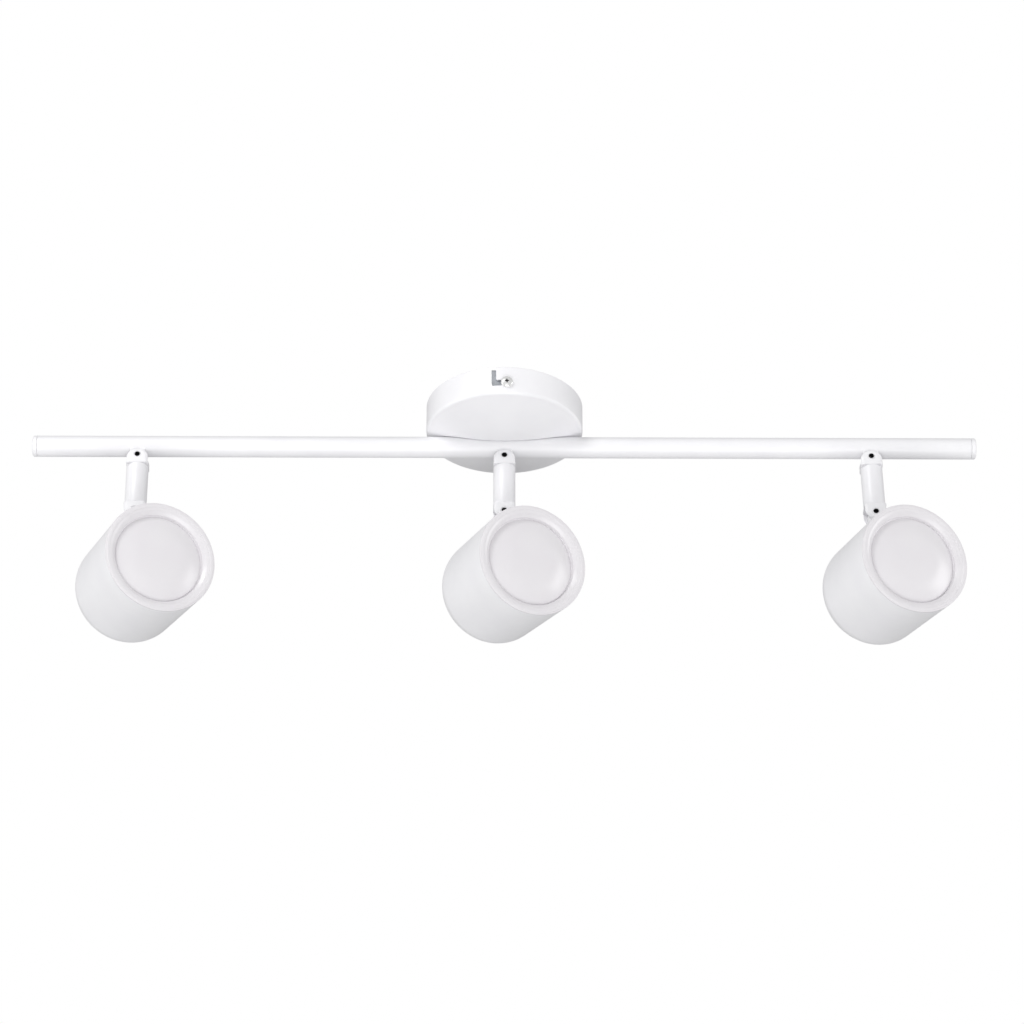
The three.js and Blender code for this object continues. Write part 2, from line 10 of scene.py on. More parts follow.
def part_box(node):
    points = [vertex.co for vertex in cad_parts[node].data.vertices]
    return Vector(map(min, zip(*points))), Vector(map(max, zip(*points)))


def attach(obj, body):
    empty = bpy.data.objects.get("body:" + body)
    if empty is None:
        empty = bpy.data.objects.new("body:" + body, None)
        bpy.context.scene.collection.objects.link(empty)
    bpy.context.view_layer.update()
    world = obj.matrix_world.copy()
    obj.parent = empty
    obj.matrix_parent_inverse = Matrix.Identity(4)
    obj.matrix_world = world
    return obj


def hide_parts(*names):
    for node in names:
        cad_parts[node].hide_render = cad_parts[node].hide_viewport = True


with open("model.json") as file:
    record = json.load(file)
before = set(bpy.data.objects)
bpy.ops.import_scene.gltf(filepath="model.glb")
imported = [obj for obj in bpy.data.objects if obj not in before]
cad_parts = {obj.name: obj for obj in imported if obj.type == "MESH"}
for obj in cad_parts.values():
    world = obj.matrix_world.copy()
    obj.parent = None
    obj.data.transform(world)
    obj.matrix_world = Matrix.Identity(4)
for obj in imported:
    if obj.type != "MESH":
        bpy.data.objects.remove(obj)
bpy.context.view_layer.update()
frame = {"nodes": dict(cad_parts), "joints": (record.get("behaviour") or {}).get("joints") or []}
joints = {joint["name"]: joint for joint in frame["joints"]}
heads = ("left", "middle", "right")
mm = 0.001
print("frame loaded with", len(frame["nodes"]), "nodes")


# shape tools

def rounded(corners, steps=6, closed=False):
    # corners are (u, v, radius); every corner with a radius becomes an arc
    made = []
    for index, (u, v, radius) in enumerate(corners):
        atEnd = not closed and index in (0, len(corners) - 1)
        if radius <= 0 or atEnd:
            made.append((u, v))
            continue
        here = Vector((u, v))
        back = Vector(corners[index - 1][:2]) - here
        ahead = Vector(corners[(index + 1) % len(corners)][:2]) - here
        half = back.angle(ahead) / 2
        reach = min(radius / math.tan(half), 0.49 * back.length, 0.49 * ahead.length)
        toMiddle = (back.normalized() + ahead.normalized()).normalized()
        middle = here + toMiddle * (reach / math.cos(half))
        start = here + back.normalized() * reach - middle
        end = here + ahead.normalized() * reach - middle
        turn = math.atan2(start.x * end.y - start.y * end.x, start.dot(end))
        for step in range(steps + 1):
            part = turn * step / steps
            x = start.x * math.cos(part) - start.y * math.sin(part)
            y = start.x * math.sin(part) + start.y * math.cos(part)
            made.append((middle.x + x, middle.y + y))
    return made


def lathe(profile, segments=64, closed=False):
    # (radius, height) rings about Z; a third number makes the ring a polygon with that many sides
    corners = []
    rings = []
    for radius, height, *sides in profile:
        count = 1 if radius < 1e-6 else segments
        rings.append([len(corners) + step for step in range(count)])
        for step in range(count):
            angle = 2 * math.pi * step / segments
            reach = radius
            if sides:
                share = 2 * math.pi / sides[0]
                reach = radius / math.cos(angle % share - share / 2)
            corners.append((reach * math.cos(angle), reach * math.sin(angle), height))
    pairs = list(zip(rings, rings[1:]))
    if closed:
        pairs.append((rings[-1], rings[0]))
    faces = []
    for low, high in pairs:
        for step in range(segments):
            after = (step + 1) % segments
            quad = (low[step % len(low)], low[after % len(low)],
                    high[after % len(high)], high[step % len(high)])
            faces.append(list(dict.fromkeys(quad)))
    return corners, faces


def prism(outline, low, high):
    # an outline in X and Z pushed along Y
    count = len(outline)
    corners = [(x, y, z) for y in (low, high) for x, z in outline]
    faces = [list(range(count)), list(range(2 * count - 1, count - 1, -1))]
    for step in range(count):
        after = (step + 1) % count
        faces.append([after, step, count + step, count + after])
    return corners, faces


def block(x, y, z):
    return prism([(-x / 2, -z / 2), (x / 2, -z / 2), (x / 2, z / 2), (-x / 2, z / 2)], -y / 2, y / 2)


def makePiece(name, shape, turn=None):
    corners, faces = shape
    mesh = bpy.data.meshes.new(name)
    mesh.from_pydata(corners, [], faces)
    work = bmesh.new()
    work.from_mesh(mesh)
    bmesh.ops.remove_doubles(work, verts=work.verts, dist=1e-4)
    bmesh.ops.dissolve_degenerate(work, edges=work.edges, dist=1e-5)
    bmesh.ops.recalc_face_normals(work, faces=work.faces)
    work.to_mesh(mesh)
    work.free()
    if turn is not None:
        mesh.transform(turn)
    piece = bpy.data.objects.new(name, mesh)
    bpy.context.scene.collection.objects.link(piece)
    return piece


def applyModifiers(piece):
    graph = bpy.context.evaluated_depsgraph_get()
    mesh = bpy.data.meshes.new_from_object(piece.evaluated_get(graph))
    piece.modifiers.clear()
    piece.data = mesh


def combine(piece, tool, operation="DIFFERENCE"):
    # cuts the tool out of the piece, or welds it on, and throws the tool away
    modifier = piece.modifiers.new("combine", "BOOLEAN")
    modifier.operation = operation
    modifier.solver = "EXACT"
    modifier.object = tool
    applyModifiers(piece)
    bpy.data.objects.remove(tool)


def soften(piece, width, steps, chosen):
    # rounds the edges whose middle point passes the test
    work = bmesh.new()
    work.from_mesh(piece.data)
    edges = []
    for edge in work.edges:
        middle = (edge.verts[0].co + edge.verts[1].co) / 2
        if len(edge.link_faces) == 2 and edge.calc_face_angle() > 0.5 and chosen(middle):
            edges.append(edge)
    bmesh.ops.bevel(work, geom=edges, offset=width, segments=steps, profile=0.5, affect="EDGES")
    bmesh.ops.recalc_face_normals(work, faces=work.faces)
    work.to_mesh(piece.data)
    work.free()


def finishMesh(piece, material, smoothAngle):
    mesh = piece.data
    mesh.transform(Matrix.Scale(mm, 4))
    mesh.polygons.foreach_set("use_smooth", [True] * len(mesh.polygons))
    mesh.set_sharp_from_angle(angle=math.radians(smoothAngle))
    if not mesh.materials:
        mesh.materials.append(material)
    mesh.update()


def paintFaces(piece, materials, test):
    # the second material goes on the faces whose centre passes the test
    for material in materials:
        piece.data.materials.append(material)
    for face in piece.data.polygons:
        face.material_index = 1 if test(face.center) else 0


def copyOf(piece, name):
    twin = bpy.data.objects.new(name, piece.data)
    bpy.context.scene.collection.objects.link(twin)
    return twin


def settle(piece, body, nodes, place=None):
    # into its place, on its body, standing for its nodes
    piece.matrix_world = place or Matrix.Identity(4)
    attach(piece, body)
    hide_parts(*nodes)
    return piece


def shift(x=0, y=0, z=0):
    return Matrix.Translation((x, y, z))


def spin(degrees, axis):
    return Matrix.Rotation(math.radians(degrees), 4, axis)


# finishes

grainwork = {"cloudDetail": 3, "cloudLow": 0.3, "cloudHigh": 0.7, "grainDetail": 4, "bumpStrength": 0.5}


def newFinish(name, look):
    # look: the shader's fixed values, two colours, a roughness range and the size and depth of its grain
    material = bpy.data.materials.new(name)
    material.use_nodes = True
    nodes, links = material.node_tree.nodes, material.node_tree.links
    shader = nodes["Principled BSDF"]
    for socket, value in look.get("fixed", {}).items():
        shader.inputs[socket].default_value = value
    place = nodes.new("ShaderNodeTexCoord")

    cloud = nodes.new("ShaderNodeTexNoise")  # slow change of colour and sheen
    cloud.inputs["Scale"].default_value = 1 / (look["cloudSize"] * mm)
    cloud.inputs["Detail"].default_value = grainwork["cloudDetail"]
    links.new(place.outputs["Object"], cloud.inputs["Vector"])
    tint = nodes.new("ShaderNodeValToRGB")
    tint.color_ramp.elements[0].position = grainwork["cloudLow"]
    tint.color_ramp.elements[1].position = grainwork["cloudHigh"]
    tint.color_ramp.elements[0].color = (*look["colours"][0], 1)
    tint.color_ramp.elements[1].color = (*look["colours"][1], 1)
    links.new(cloud.outputs["Fac"], tint.inputs["Fac"])
    links.new(tint.outputs["Color"], shader.inputs["Base Color"])
    sheen = nodes.new("ShaderNodeMapRange")
    sheen.inputs["To Min"].default_value, sheen.inputs["To Max"].default_value = look["roughness"]
    links.new(cloud.outputs["Fac"], sheen.inputs["Value"])
    links.new(sheen.outputs["Result"], shader.inputs["Roughness"])

    grain = nodes.new("ShaderNodeTexNoise")  # the fine surface itself
    grain.inputs["Scale"].default_value = 1 / (look["grainSize"] * mm)
    grain.inputs["Detail"].default_value = grainwork["grainDetail"]
    links.new(place.outputs["Object"], grain.inputs["Vector"])
    bump = nodes.new("ShaderNodeBump")
    bump.inputs["Distance"].default_value = look["grainDepth"] * mm
    bump.inputs["Strength"].default_value = grainwork["bumpStrength"]
    links.new(grain.outputs["Fac"], bump.inputs["Height"])
    links.new(bump.outputs["Normal"], shader.inputs["Normal"])
    return material


finishLooks = {
    "satinWhitePaint": {
        "colours": ((0.86, 0.855, 0.88), (0.885, 0.882, 0.90)), "roughness": (0.36, 0.46),
        "cloudSize": 18, "grainSize": 0.9, "grainDepth": 0.03,
        "fixed": {"IOR": 1.5, "Coat Weight": 0.15, "Coat Roughness": 0.25}},
    "opalAcrylic": {
        "colours": ((0.74, 0.72, 0.745), (0.755, 0.74, 0.76)), "roughness": (0.3, 0.36),
        "cloudSize": 22, "grainSize": 0.35, "grainDepth": 0.006,
        "fixed": {"IOR": 1.49, "Coat Weight": 0.1, "Coat Roughness": 0.2}},
    "dullZinc": {
        "colours": ((0.40, 0.42, 0.45), (0.50, 0.52, 0.55)), "roughness": (0.38, 0.55),
        "cloudSize": 3, "grainSize": 0.6, "grainDepth": 0.02, "fixed": {"Metallic": 0.6}},
    "nickelPlate": {
        "colours": ((0.66, 0.66, 0.66), (0.76, 0.755, 0.74)), "roughness": (0.2, 0.34),
        "cloudSize": 4, "grainSize": 0.4, "grainDepth": 0.008, "fixed": {"Metallic": 1.0}},
    "brightPlate": {
        "colours": ((0.86, 0.86, 0.86), (0.9, 0.9, 0.89)), "roughness": (0.22, 0.3),
        "cloudSize": 3, "grainSize": 0.4, "grainDepth": 0.006, "fixed": {"Metallic": 0.55}},
    # near-black finish put inside the screws' cross recess and hex socket: painted shade standing in for the
    # shadow deep in these recesses
    "recessShadeBlack": {
        "colours": ((0.008, 0.008, 0.009), (0.018, 0.018, 0.02)), "roughness": (0.4, 0.6),
        "cloudSize": 1, "grainSize": 0.2, "grainDepth": 0.01, "fixed": {"Metallic": 0.4}},
    "plainBrass": {
        "colours": ((0.58, 0.42, 0.18), (0.7, 0.53, 0.27)), "roughness": (0.25, 0.42),
        "cloudSize": 3, "grainSize": 0.5, "grainDepth": 0.01, "fixed": {"Metallic": 1.0}},
    "naturalNylon": {
        "colours": ((0.72, 0.69, 0.6), (0.78, 0.76, 0.68)), "roughness": (0.45, 0.6),
        "cloudSize": 6, "grainSize": 0.5, "grainDepth": 0.02,
        "fixed": {"Subsurface Weight": 0.2, "Subsurface Scale": 0.002}},
    "whiteSheath": {
        "colours": ((0.66, 0.66, 0.66), (0.74, 0.74, 0.735)), "roughness": (0.45, 0.58),
        "cloudSize": 5, "grainSize": 0.6, "grainDepth": 0.02, "fixed": {"IOR": 1.53}},
    "castAluminium": {
        "colours": ((0.55, 0.56, 0.57), (0.68, 0.685, 0.69)), "roughness": (0.4, 0.6),
        "cloudSize": 3, "grainSize": 0.4, "grainDepth": 0.05, "fixed": {"Metallic": 1.0}},
    "whiteSolderMask": {
        "colours": ((0.76, 0.78, 0.74), (0.82, 0.83, 0.8)), "roughness": (0.3, 0.42),
        "cloudSize": 8, "grainSize": 0.3, "grainDepth": 0.008, "fixed": {"IOR": 1.5}},
    "greenLaminate": {
        "colours": ((0.02, 0.09, 0.045), (0.035, 0.13, 0.07)), "roughness": (0.32, 0.5),
        "cloudSize": 2, "grainSize": 0.4, "grainDepth": 0.02, "fixed": {"IOR": 1.55}},
}
finish = {name: newFinish(name, look) for name, look in finishLooks.items()}
print("finishes made:", len(finish))


# canopy: pressed steel cup with a domed face, a trough for the tube and two bayonet slots

tube = {"radius": 6.75, "wall": 1.2, "axis": -29.5, "edge": 0.35, "segments": 96}
canopy = {"edge": 2.4, "sheet": 1.0, "drop": 20, "domeMargin": 2.3, "domeDepth": 9.5, "footSoft": 0.25,
          "troughGap": 0.3, "lip": 1.3, "rim": 0.35, "stations": 100,
          "slotWidth": 4.5, "slotRun": 9, "slotDrop": 11.6, "turn": 1.6, "nippleHole": 4.25,
          "endWidth": 9, "leastAcross": 0.6, "legCorner": 0.8, "wallRings": (-12, -6, -1)}
shellLow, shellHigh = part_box("canopy_shell")
canopy["radius"] = (shellHigh.x - shellLow.x) / 2 / mm


def softMax(a, b, soft):
    mix = max(soft - abs(a - b), 0)
    return max(a, b) + mix * mix / (4 * soft)


def canopyFace(inset):
    # the face's skin, its outline and the height of a point; inset is 0 outside and the sheet inside
    flatRadius = canopy["radius"] - canopy["edge"]
    foot = canopy["radius"] - canopy["domeMargin"]
    sphere = (foot ** 2 + canopy["domeDepth"] ** 2) / (2 * canopy["domeDepth"]) - inset
    saddle = tube["radius"] + canopy["troughGap"] + inset
    lip = canopy["lip"] - inset

    def height(x, y):
        dome = math.sqrt(max(sphere ** 2 - x * x - y * y, 0))
        rise = dome - (sphere + inset - canopy["domeDepth"]) + inset
        return -canopy["drop"] + inset - softMax(rise, 0, canopy["footSoft"])

    def halfSection(x, width):
        # from the trough's middle out to the outline, always with the same number of points
        across = saddle
        for _ in range(4):
            above = height(x, across) + lip - tube["axis"]
            across = math.sqrt(max((saddle + lip) ** 2 - above ** 2, 0))
        points = []
        if across > canopy["leastAcross"]:
            slope = math.atan2(across, above)
            for step in range(11):
                part = slope * step / 10
                points.append((saddle * math.sin(part), tube["axis"] + saddle * math.cos(part)))
            for step in range(1, 6):
                part = slope * (1 - step / 5)
                points.append((across - lip * math.sin(part), tube["axis"] + above - lip * math.cos(part)))
        else:
            across = canopy["leastAcross"]
            points = [(across * step / 15, height(x, across * step / 15)) for step in range(16)]
        for step in range(1, 15):
            y = across + (width - across) * step / 14
            points.append((y, height(x, y)))
        return points

    endAngle = math.acos(canopy["endWidth"] / flatRadius)
    rows = []
    for station in range(canopy["stations"] + 1):
        x = flatRadius * math.sin(endAngle * (2 * station / canopy["stations"] - 1))
        half = halfSection(x, math.sqrt(flatRadius ** 2 - x * x))
        rows.append([(x, -y, z) for y, z in reversed(half[1:])] + [(x, y, z) for y, z in half])
    for end in (0, -1):
        sign = -1 if end == 0 else 1
        column = [(sign * math.sqrt(flatRadius ** 2 - y * y), y, height(flatRadius, 0))
                  for x, y, z in rows[end]]
        rows.insert(0 if end == 0 else len(rows), column)
    return rows


def canopyBoundary(rows):
    loop = [(row, 0) for row in range(len(rows))]
    loop += [(len(rows) - 1, spot) for spot in range(1, len(rows[0]))]
    loop += [(row, len(rows[0]) - 1) for row in range(len(rows) - 2, -1, -1)]
    loop += [(0, spot) for spot in range(len(rows[0]) - 2, 0, -1)]
    return loop


def canopyShape():
    corners, faces, rims = [], [], []
    for inset in (0, canopy["sheet"]):
        rows = canopyFace(inset)
        first = len(corners)
        width = len(rows[0])
        corners += [point for row in rows for point in row]
        for row in range(len(rows) - 1):
            for spot in range(width - 1):
                a = first + row * width + spot
                faces.append([a, a + 1, a + width + 1, a + width])
        loop = canopyBoundary(rows)
        angles = [math.atan2(rows[row][spot][1], rows[row][spot][0]) for row, spot in loop]
        before = [first + row * width + spot for row, spot in loop]
        flat = canopy["radius"] - canopy["edge"]
        face = -canopy["drop"] + inset
        edge = canopy["edge"] - inset
        rings = []
        for part in range(1, 9):
            turn = part * math.pi / 16
            rings.append((flat + edge * math.sin(turn), face + edge - edge * math.cos(turn)))
        outer = canopy["radius"] - inset
        nearRim = canopy["rim"] if inset == 0 else -canopy["rim"]
        rings += [(outer, height) for height in canopy["wallRings"]]
        rings += [(outer, -abs(nearRim)), (outer - nearRim, 0)]
        for radius, height in rings:
            ring = [len(corners) + step for step in range(len(loop))]
            corners += [(radius * math.cos(angle), radius * math.sin(angle), height) for angle in angles]
            for step in range(len(loop)):
                after = (step + 1) % len(loop)
                faces.append([before[step], before[after], ring[after], ring[step]])
            before = ring
        rims.append(before)
    for step in range(len(rims[0])):
        after = (step + 1) % len(rims[0])
        faces.append([rims[0][step], rims[0][after], rims[1][after], rims[1][step]])
    return corners, faces


def bayonetTool():
    # the slot's L: the screw's seat at the origin, a level run and an upright leg
    half = canopy["slotWidth"] / 2
    run = canopy["slotRun"]
    top = canopy["slotDrop"] + 2
    outline = rounded([(-run - half, top, 0), (-run - half, -half, half), (half, -half, half),
                       (half, half, half), (-run + half, half, canopy["legCorner"]),
                       (-run + half, top, 0)], 8, closed=True)
    return makePiece("slotTool", prism(outline, -4, 4), shift(0, -canopy["radius"], -canopy["slotDrop"]))


canopyPiece = makePiece("canopy", canopyShape())
for turn in (0, 180):
    slotTool = bayonetTool()
    slotTool.data.transform(spin(turn + canopy["turn"], "Z"))
    combine(canopyPiece, slotTool)
nippleCut = lathe([(0, -26), (canopy["nippleHole"], -26), (canopy["nippleHole"], -16), (0, -16)])
combine(canopyPiece, makePiece("nippleTool", nippleCut))
finishMesh(canopyPiece, finish["satinWhitePaint"], 40)
settle(canopyPiece, "base", ["canopy_shell"])
print("canopy made:", len(canopyPiece.data.polygons), "faces")


# ceiling bracket and its side screws

bracket = {"width": 19, "strip": 13, "sheet": 1.5, "tab": 17, "tabCorner": 8,
           "wing": 37, "wingWidth": 22, "wingCorner": 4, "bend": 1.6, "reach": 47.77,
           "holeSpacing": 54, "holeWidth": 5, "holeLength": 14, "screwHole": 2.2, "earthHole": -26}


def bracketPiece():
    reach, sheet, tab = bracket["reach"], bracket["sheet"], bracket["tab"]
    outer, inner = bracket["bend"] + sheet, bracket["bend"]
    corners = [(-reach, -tab, 0), (-reach, 0, outer), (reach, 0, outer), (reach, -tab, 0),
               (reach - sheet, -tab, 0), (reach - sheet, -sheet, inner),
               (-reach + sheet, -sheet, inner), (-reach + sheet, -tab, 0)]
    half = bracket["width"] / 2
    piece = makePiece("bracket", prism(rounded(corners, 6, closed=True), -half, half), spin(90, "Z"))
    wing, wide = bracket["wing"], bracket["wingWidth"] / 2
    soft = bracket["wingCorner"]
    plan = rounded([(-wing, -wide, soft), (wing, -wide, soft), (wing, wide, soft), (-wing, wide, soft)],
                   6, closed=True)
    wings = makePiece("wings", prism(plan, 0, sheet), spin(-90, "X"))
    wings.data.transform(shift(0, 0, -max(v.co.z for v in wings.data.vertices)))
    combine(piece, wings, "UNION")
    corner = bracket["tabCorner"]
    past = half + 1
    lower = [(past, corner - tab), (past, -tab - 1), (-past, -tab - 1), (-past, corner - tab)]
    for side, first in ((-1, 180), (1, 270)):
        for step in range(13):
            angle = math.radians(first + 90 * step / 12)
            lower.append((side * (half - corner) + corner * math.cos(angle),
                          corner - tab + corner * math.sin(angle)))
    combine(piece, makePiece("tool", prism(lower, -reach - 2, reach + 2)))
    flank = reach - 2 * bracket["bend"] - sheet  # the strip between the tabs is narrower than they are
    for side in (-1, 1):
        wide = (bracket["width"] - bracket["strip"]) / 2
        away = (bracket["wingWidth"] / 2 + flank) / 2
        for end in (-1, 1):
            spare = makePiece("tool", block(wide + 1, flank - bracket["wingWidth"] / 2, 9))
            spare.data.transform(shift(side * (half - wide / 2 + 0.5), end * away, 0))
            combine(piece, spare)
    slotHalf = (bracket["holeLength"] - bracket["holeWidth"]) / 2
    for side in (-1, 1):
        width = bracket["holeWidth"] / 2
        hole = rounded([(-width, -slotHalf - width, width), (width, -slotHalf - width, width),
                        (width, slotHalf + width, width), (-width, slotHalf + width, width)], 8, closed=True)
        tool = makePiece("tool", prism(hole, -4, 4), spin(-90, "X"))
        tool.data.transform(shift(0, side * bracket["holeSpacing"] / 2, 0))
        combine(piece, tool)
        drill = lathe([(0, -4), (bracket["screwHole"], -4), (bracket["screwHole"], 4), (0, 4)], 32)
        tool = makePiece("tool", drill, shift(0, side * reach, -canopy["slotDrop"]) @ spin(90, "X"))
        combine(piece, tool)
    earth = lathe([(0, -4), (bracket["screwHole"], -4), (bracket["screwHole"], 4), (0, 4)], 32)
    combine(piece, makePiece("tool", earth, shift(bracket["earthHole"], 0, 0)))
    piece.data.transform(spin(canopy["turn"], "Z"))
    return piece


ceilingBracket = bracketPiece()
finishMesh(ceilingBracket, finish["dullZinc"], 30)
settle(ceilingBracket, "base", ["ceiling_bracket"])

sideScrew = {"radius": 1.95, "head": 3.85, "headHeight": 2.4, "length": 7, "gap": 0.05,
             "recess": 3.0, "recessWidth": 0.8, "recessDepth": 1.5, "turn": 5, "point": 0.6}


def panHeadScrew(name, length):
    # head towards +Z, its underside at the origin
    size = sideScrew
    profile = rounded([(0, size["headHeight"], 0), (size["head"] * 0.55, size["headHeight"] - 0.1, 2.5),
                       (size["head"], size["headHeight"] - 0.9, 1.1), (size["head"], 0, 0.25),
                       (size["radius"], 0, 0), (size["radius"], size["point"] - length, 0),
                       (size["radius"] - size["point"], -length, 0), (0, -length, 0)], 6)
    piece = makePiece(name, lathe(profile, 48))
    for quarter in (0, 90):
        half, deep = size["recess"] / 2, size["recessDepth"]
        outline = [(-half * 0.35, -deep), (half * 0.35, -deep), (half, 0.2), (-half, 0.2)]
        wing = size["recessWidth"] / 2
        place = shift(0, 0, size["headHeight"]) @ spin(quarter + size["turn"], "Z")
        combine(piece, makePiece("tool", prism(outline, -wing, wing), place))
    return piece


screwPiece = panHeadScrew("canopy_side_screw_front", sideScrew["length"])
recessReach = sideScrew["recess"] / 2
recessFloor = sideScrew["headHeight"] - 0.35
recessDeepest = sideScrew["headHeight"] - 1.6


def insideRecess(spot):
    return math.hypot(spot.x, spot.y) < recessReach and recessDeepest < spot.z < recessFloor


# the cross recess's faces take the near-black finish: painted shade in the recess, the head around it stays
# bright plate
paintFaces(screwPiece, [finish["brightPlate"], finish["recessShadeBlack"]], insideRecess)
finishMesh(screwPiece, finish["brightPlate"], 32)
for turn, name in ((0, "front"), (180, "back")):
    piece = screwPiece if turn == 0 else copyOf(screwPiece, "canopy_side_screw_back")
    outward = spin(turn + canopy["turn"], "Z") @ spin(90, "X")
    place = outward @ shift(0, 0, (canopy["radius"] + sideScrew["gap"]) * mm)
    place = shift(0, 0, -canopy["slotDrop"] * mm) @ place
    settle(piece, "base", ["canopy_screw_" + name], place)
print("bracket and side screws made")


# bar: tube, end caps and the lugs under it

endCap = {"length": 2.9, "edge": 2.5, "spigot": 9, "gap": 0.12}
lug = {"spigot": 3, "thickness": 5.4, "eye": 4.4, "flare": 0.8, "pivotHole": 2.25}
tubeLow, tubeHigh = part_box("bar_tube")
tubeHalf = (tubeHigh.x - tubeLow.x) / 2 / mm
headPlaces = [joints["arm_hinge_" + head]["pos_m"][0] / mm for head in heads]
hingeDrop = tube["axis"] - joints["arm_hinge_middle"]["pos_m"][2] / mm


def barTubePiece():
    outer, inner = tube["radius"], tube["radius"] - tube["wall"]
    stops = [place + side * 10 for place in headPlaces for side in (-1, 1)]
    profile = rounded([(inner, -tubeHalf, 0.2), (outer, -tubeHalf, tube["edge"]),
                       (outer, tubeHalf, tube["edge"]), (inner, tubeHalf, 0.2)], 4, closed=True)

    def outerRun(index):
        # the length of the stretch before a point, or nothing where the point is on the bore
        return abs(profile[index][1] - profile[index - 1][1]) * (profile[index][0] > inner + 0.5)

    longest = max(range(len(profile)), key=outerRun)
    profile[longest:longest] = [(outer, stop) for stop in stops]
    piece = makePiece("bar_tube_piece", lathe(profile, tube["segments"], closed=True), spin(90, "Y"))
    for place in headPlaces:
        drill = lathe([(0, -8), (lug["spigot"] + 0.1, -8), (lug["spigot"] + 0.1, -3), (0, -3)], 32)
        combine(piece, makePiece("tool", drill, shift(place, 0, 0)))
    drill = lathe([(0, 3), (canopy["nippleHole"], 3), (canopy["nippleHole"], 8), (0, 8)], 32)
    combine(piece, makePiece("tool", drill))
    return piece


barTube = barTubePiece()
finishMesh(barTube, finish["satinWhitePaint"], 32)
settle(barTube, "base", ["bar_tube"], shift(0, 0, tube["axis"] * mm))

capRadius = tube["radius"] - tube["wall"] - 0.15
capProfile = rounded([(0, -endCap["spigot"], 0), (capRadius, -endCap["spigot"], 0.8), (capRadius, 0, 0),
                      (tube["radius"], 0, 0.15), (tube["radius"], endCap["length"], endCap["edge"]),
                      (0, endCap["length"], 0)], 10)
capPiece = makePiece("end_cap_piece_right", lathe(capProfile, tube["segments"]), spin(90, "Y"))
finishMesh(capPiece, finish["satinWhitePaint"], 40)
capReach = (tubeHalf + endCap["gap"]) * mm
settle(capPiece, "base", ["end_cap_right"], shift(capReach, 0, tube["axis"] * mm))
leftCap = copyOf(capPiece, "end_cap_piece_left")
leftCapPlace = shift(-capReach, 0, tube["axis"] * mm) @ spin(180, "Z")
settle(leftCap, "base", ["end_cap_left"], leftCapPlace)


def barLugPiece():
    # an eye that grows up into the tube's underside, with a small weld flare
    eye, half = lug["eye"], lug["thickness"]
    rows = []
    slices = 16
    for index in range(slices + 1):
        y = half * (2 * index / slices - 1)
        seat = hingeDrop - math.sqrt(tube["radius"] ** 2 - y * y) + 0.15
        soft = 0.35 * max(0, 1 - (half - abs(y)) / 0.5)  # edges eased
        reach = eye - soft
        outline = [(reach * math.cos(angle), reach * math.sin(angle))
                   for angle in (math.pi * (1 + step / 24) for step in range(25))]
        sides = 5
        for step in range(1, sides + 1):
            share = step / sides
            outline.append((reach + lug["flare"] * share ** 3, seat * share))
        for step in range(sides, 0, -1):
            share = step / sides
            outline.append((-reach - lug["flare"] * share ** 3, seat * share))
        rows.append([(x, y, z) for x, z in outline])
    count = len(rows[0])
    corners = [point for row in rows for point in row]
    faces = [list(range(count)), list(range(len(corners) - 1, len(corners) - count - 1, -1))]
    for row in range(slices):
        for step in range(count):
            after = (step + 1) % count
            a, b = row * count + step, row * count + after
            faces.append([b, a, a + count, b + count])
    piece = makePiece("bar_lug_piece", (corners, faces))
    top = hingeDrop - tube["radius"] + 2.2
    stub = makePiece("tool", lathe([(0, 1.5), (lug["spigot"], 1.5), (lug["spigot"], top), (0, top)], 32))
    combine(piece, stub, "UNION")
    drill = lathe([(0, -9), (lug["pivotHole"], -9), (lug["pivotHole"], 9), (0, 9)], 32)
    combine(piece, makePiece("tool", drill, spin(90, "X")))
    return piece


# fork, arm tube and pivot screw, drawn with the hinge at the origin and the arm below

fork = {"half": 7, "cheek": 1.3, "roundDrop": 2, "shoulder": 6, "floor": 4.7, "corner": 2.2,
        "shoulderEdge": 0.12, "spigot": 5.45, "spigotLength": 7.5, "hole": 2.25, "chamfer": 0.3,
        "wireHole": 2.2}
arm = {"length": 40.5, "radius": 7, "wall": 1.2, "gap": 0.06, "edge": 0.12}
pivot = {"radius": 2.1, "flats": 2.95, "depth": 3.2, "length": 13.75, "edge": 0.25}


def forkPiece():
    half, shoulder, drop = fork["half"], fork["shoulder"], fork["roundDrop"]
    outline = [(-half, -shoulder), (half, -shoulder)]
    outline += [(half * math.cos(angle), half * math.sin(angle) - drop)
                for angle in (math.pi * step / 32 for step in range(33))]
    piece = makePiece("fork", prism(outline, -half, half))
    soften(piece, fork["corner"], 6,
           lambda spot: abs(abs(spot.y) - half) < 0.01 and spot.z > -shoulder + 0.1)
    soften(piece, fork["shoulderEdge"], 2, lambda spot: abs(spot.z + shoulder) < 0.01)
    inside = half - fork["cheek"]
    mouth = makePiece("tool", block(40, 2 * inside, 30), shift(0, 0, 15 - fork["floor"]))
    combine(piece, mouth)
    foot = -shoulder - fork["spigotLength"]
    stub = lathe([(0, foot), (fork["spigot"] - 0.5, foot), (fork["spigot"], foot + 0.5),
                  (fork["spigot"], -shoulder + 0.3), (0, -shoulder + 0.3)], 48)
    combine(piece, makePiece("tool", stub), "UNION")
    hole, wide = fork["hole"], fork["hole"] + fork["chamfer"]
    drill = lathe([(0, -9), (wide + 2, -9), (wide, -half), (hole, -half + fork["chamfer"]),
                   (hole, half - fork["chamfer"]), (wide, half), (wide + 2, 9), (0, 9)], 40)
    combine(piece, makePiece("tool", drill, spin(90, "X")))
    wireWay = lathe([(0, -20), (fork["wireHole"], -20), (fork["wireHole"], 0), (0, 0)], 32)
    combine(piece, makePiece("tool", wireWay))
    return piece


